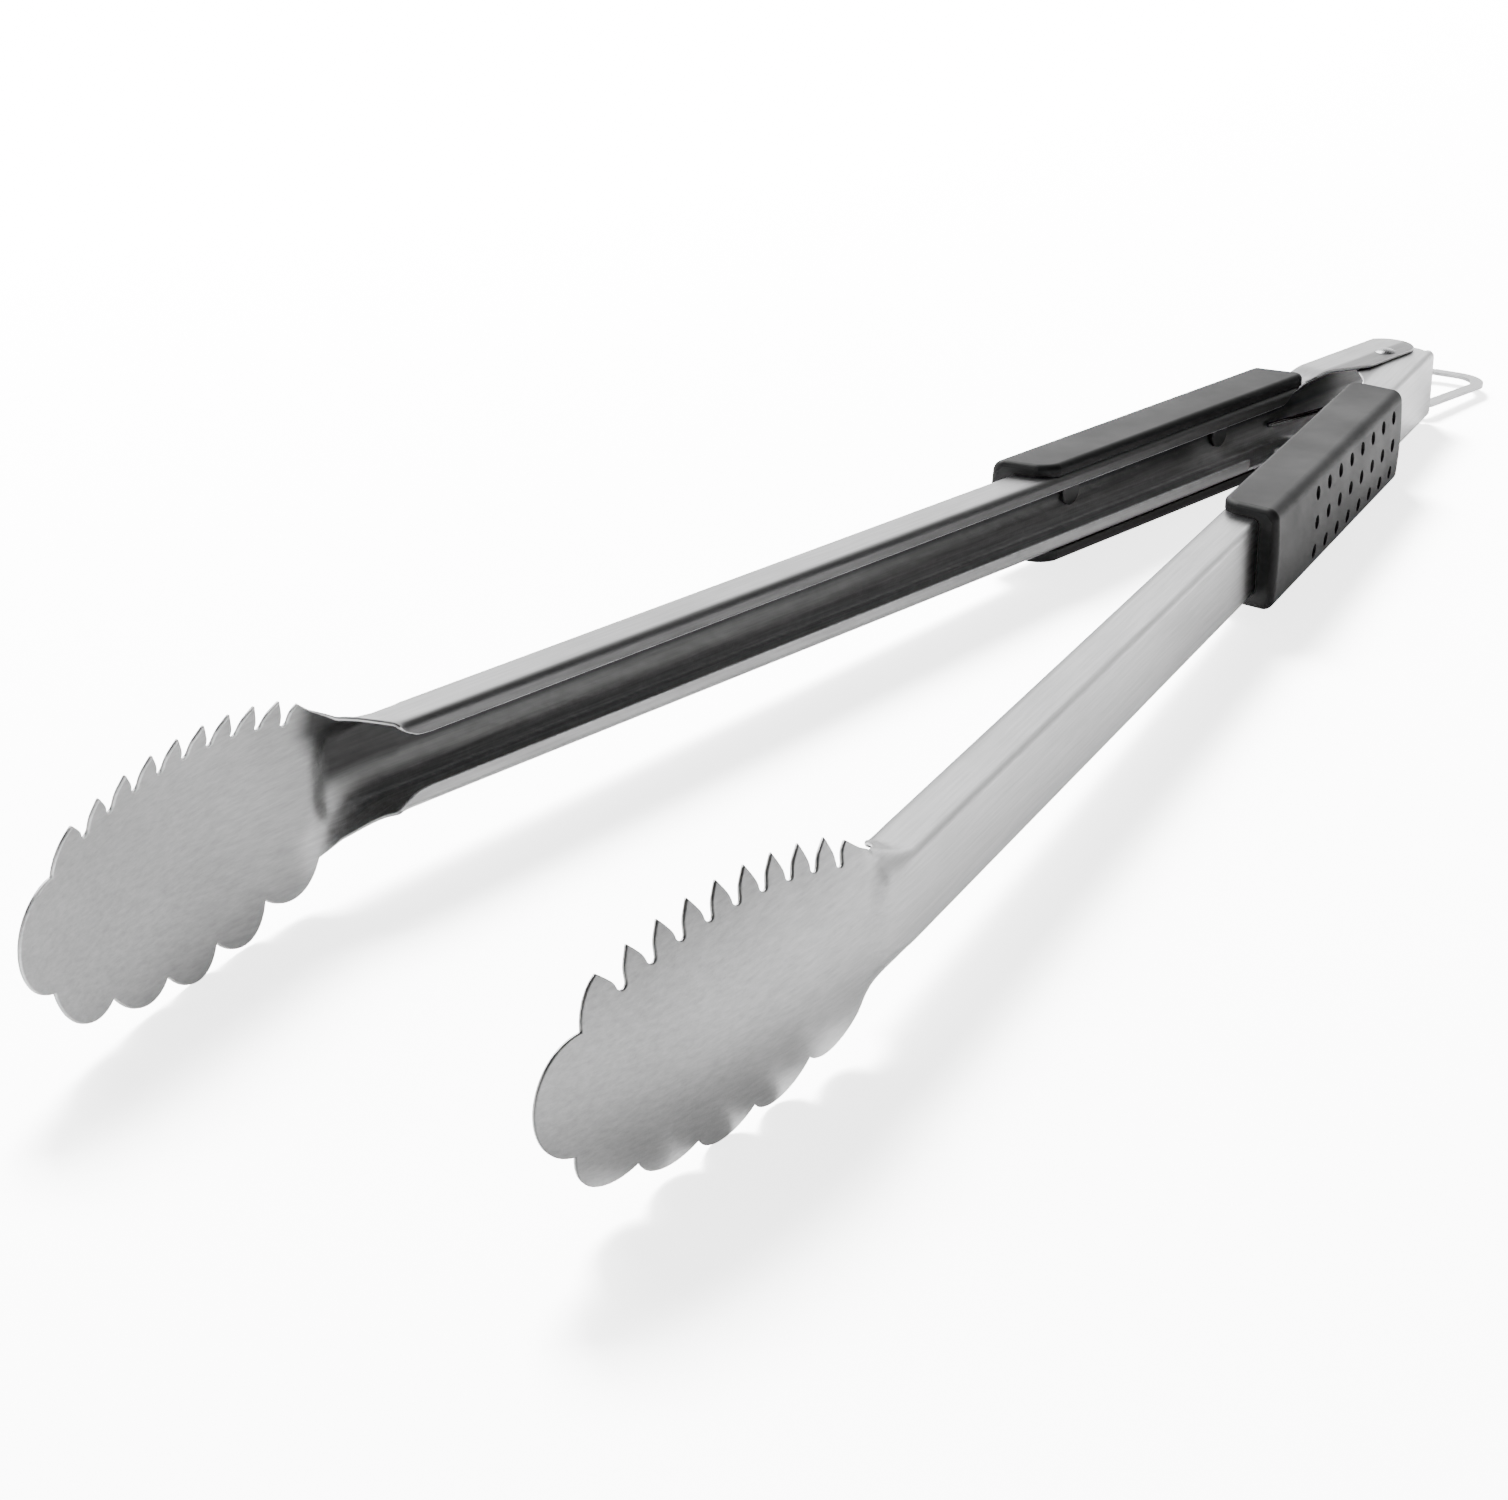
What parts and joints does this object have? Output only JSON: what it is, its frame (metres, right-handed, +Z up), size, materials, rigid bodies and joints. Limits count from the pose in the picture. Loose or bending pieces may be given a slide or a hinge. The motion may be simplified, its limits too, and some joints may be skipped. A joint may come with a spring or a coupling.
{
  "type": "kitchen tongs",
  "caption": "Long spring loaded tongs with two toothed steel arms, moulded grips, a riveted pivot and a sliding lock that ends in a hang ring.",
  "frame": {"origin": "centre of the bounding box in plan, on the surface that the tongs lie on", "axes": "+X from the hang ring towards the heads, along the middle between the arms; +Y towards the inner arm; +Z up"},
  "size_m": [0.516, 0.1228, 0.0474],
  "materials": {
    "sheet_steel": "brushed",
    "pin_steel": "satin",
    "spring_steel": "bright drawn",
    "grip_rubber": "matt",
    "stud_plastic": "matt"
  },
  "bodies": {
    "pivot": {"pivot_rivet": "pin_steel", "pivot_sleeve": "pin_steel", "torsion_spring": "spring_steel"},
    "outer_arm": {"outer_arm": "sheet_steel", "outer_grip": "grip_rubber", "outer_grip_studs": "stud_plastic"},
    "inner_arm": {"inner_arm": "sheet_steel", "inner_grip": "grip_rubber", "inner_grip_studs": "stud_plastic"},
    "lock": {"lock_slide": "sheet_steel"}
  },
  "joints": [
    {"name": "inner_arm_hinge", "type": "hinge", "parent": "pivot", "child": "inner_arm", "pos_m": [-0.20722, 0, 0.01121], "axis": [-0.0305, 0, 0.9995], "range_deg": [-6.2, 0], "stiffness_Nm_per_rad": 3.5, "springref_deg": 6.3, "deforming": ["torsion_spring"]},
    {"name": "outer_arm_hinge", "type": "hinge", "parent": "pivot", "child": "outer_arm", "pos_m": [-0.20722, 0, 0.01121], "axis": [-0.0305, 0, 0.9995], "range_deg": [0, 6.2], "stiffness_Nm_per_rad": 3.5, "springref_deg": -6.3, "deforming": ["torsion_spring"]},
    {"name": "lock_pull", "type": "slide", "parent": "pivot", "child": "lock", "axis": [-0.9995, 0, -0.0305], "range_m": [0, 0.008]}
  ],
  "couplings": [
    {"joint": "outer_arm_hinge", "follows": "inner_arm_hinge", "ratio": -1}
  ]
}
